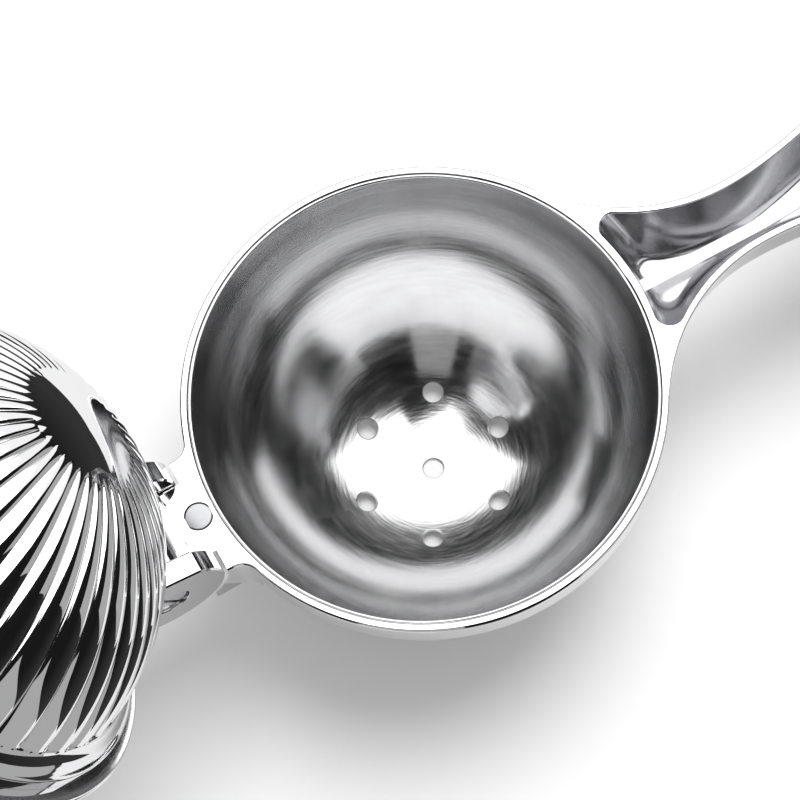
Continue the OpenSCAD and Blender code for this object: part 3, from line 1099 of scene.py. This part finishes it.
def card_paint(name, at_foot, brightness):
    """What a card shows in a reflection: one brightness at its foot fading into another above."""
    material = bpy.data.materials.new(name)
    material.use_nodes = True
    tree = material.node_tree
    tree.nodes.remove(tree.nodes["Principled BSDF"])
    place = add(tree, "ShaderNodeNewGeometry", {}).outputs["Position"]
    level = add(tree, "ShaderNodeSeparateXYZ", {0: place}).outputs[2]
    strength = ramp(tree, level, at_foot, brightness, FLOOR_Z, FLOOR_Z + DARK_FADE_H * MM)
    glow = add(tree, "ShaderNodeEmission", {"Strength": strength})
    tree.links.new(glow.outputs[0], tree.nodes["Material Output"].inputs["Surface"])
    return material


def paper(name, shades):
    """Matt paper whose fibres vary between two shades of grey."""
    material, tree, shader, place = start_material(name, 0.0)
    fibre = noise(tree, place, scale=300.0, detail=3.0)
    low, high = [(level, level, level) for level in shades]
    tree.links.new(mixed_tint(tree, fibre, low, high), shader.inputs["Base Color"])
    shader.inputs["Roughness"].default_value = 0.9
    shader.inputs["Specular IOR Level"].default_value = 0.0
    return material


def add_card(name, points, faces, paint):
    """Adds a card that can't be seen directly and throws no shadow or light."""
    made = new_object(name, points, faces)
    made.data.transform(Matrix.Scale(MM, 4))
    made.data.materials.append(paint)
    made.visible_camera = False
    made.visible_diffuse = False
    made.visible_shadow = False


def standing_card(name, path, paint):
    floor = FLOOR_Z / MM
    points = [(x, y, floor + rise) for x, y, top in path for rise in (0, top)]
    faces = [(2 * i, 2 * i + 2, 2 * i + 3, 2 * i + 1) for i in range(len(path) - 1)]
    add_card(name, points, faces, paint)


def lying_card(name, near_edge, far_edge, level, paint):
    points = [(x, y, level) for x, y in near_edge + far_edge[::-1]]
    add_card(name, points, [tuple(range(len(points)))], paint)


def add_cards():
    """Dark, grey and bright cards that give the polish something to reflect."""
    floor = FLOOR_Z / MM
    dark = card_paint("black_card", DARK_FOOT, DARK_TOP)
    grey = card_paint("grey_card", GREY, GREY)
    bright = card_paint("ceiling_card", CEILING, CEILING)
    grey_paper = paper("grey_paper", (GREY_PAPER, GREY_PAPER))
    standing_card("card_dark_wall", DARK_WALL, dark)
    standing_card("card_dark_back", DARK_BACK, dark)
    standing_card("card_dark_left", DARK_LEFT, dark)
    standing_card("card_grey_wall", GREY_WALL, grey)
    standing_card("card_low_grey_wall", LOW_GREY_WALL, grey)
    wall_foot = [(x, y) for x, y, top in DARK_WALL]
    lying_card("card_dark_floor", DARK_FLOOR, wall_foot, floor + 0.5, dark)
    lying_card("card_grey_floor", GREY_FLOOR_NEAR, GREY_FLOOR_FAR, floor + 0.3, grey_paper)
    lying_card("card_bright_ceiling", BRIGHT_CEILING_NEAR, BRIGHT_CEILING_FAR, CEILING_Z, bright)
    lying_card("card_dark_ceiling", DARK_CEILING_NEAR, DARK_CEILING_FAR, CEILING_Z, dark)


def add_surroundings():
    """White all round, dimmer as a light than as a reflection."""
    world = bpy.data.worlds.new("studio")
    bpy.context.scene.world = world
    world.use_nodes = True
    tree = world.node_tree
    background = tree.nodes["Background"]
    background.inputs["Color"].default_value = (1, 1, 1, 1)
    lighting = add(tree, "ShaderNodeLightPath", {}).outputs["Is Diffuse Ray"]
    strength = ramp(tree, lighting, SURROUNDINGS, SURROUNDINGS_AS_LIGHT)
    tree.links.new(strength, background.inputs["Strength"])


def add_floor():
    half = FLOOR_HALF
    corners = [(-half, -half), (half, -half), (half, half), (-half, half)]
    levels = (FLOOR_Z / MM - FLOOR_SLAB, FLOOR_Z / MM)
    floor = lofted("studio_floor", [[(x, y, z) for x, y in corners] for z in levels])
    floor.data.transform(Matrix.Scale(MM, 4))
    floor.data.materials.append(paper("studio_paper", (0.89, 0.91)))


def add_lamp():
    """One broad soft lamp that the polish doesn't show."""
    light = bpy.data.lights.new("soft_light", "AREA")
    light.shape = "DISK"
    light.size = LAMP_SIZE
    light.energy = LAMP_ENERGY
    lamp = bpy.data.objects.new("soft_light", light)
    lamp.location = LAMP_PLACE
    lamp.rotation_mode = "QUATERNION"
    lamp.rotation_quaternion = LAMP_PLACE.to_track_quat("Z", "Y")
    lamp.visible_glossy = False
    bpy.context.scene.collection.objects.link(lamp)


add_surroundings()
add_floor()
add_cards()
add_lamp()
bpy.context.scene.view_settings.view_transform = "Standard"

# ---- Camera ----

VIEW_AZIMUTH = math.radians(-20.61)
VIEW_ELEVATION = math.radians(71.48)
VIEW_ROLL = math.radians(-9.60)
VIEW_DISTANCE = 0.29975
VIEW_AIM = Vector((-0.00355, 0.00045, 0.0))
LENS = 94.4
SENSOR = 36.0


def make_camera():
    a = VIEW_AZIMUTH
    e = VIEW_ELEVATION
    back = Vector((math.sin(a) * math.cos(e), -math.cos(a) * math.cos(e), math.sin(e)))
    level_right = Vector((math.cos(a), math.sin(a), 0))
    level_up = back.cross(level_right)
    right = level_right * math.cos(VIEW_ROLL) + level_up * math.sin(VIEW_ROLL)
    up = level_up * math.cos(VIEW_ROLL) - level_right * math.sin(VIEW_ROLL)
    camera = bpy.data.objects.new("camera", bpy.data.cameras.new("camera"))
    camera.data.lens = LENS
    camera.data.sensor_width = SENSOR
    turn = Matrix((right, up, back)).transposed().to_4x4()
    camera.matrix_world = Matrix.Translation(VIEW_AIM + back * VIEW_DISTANCE) @ turn
    bpy.context.scene.collection.objects.link(camera)
    bpy.context.scene.camera = camera


make_camera()
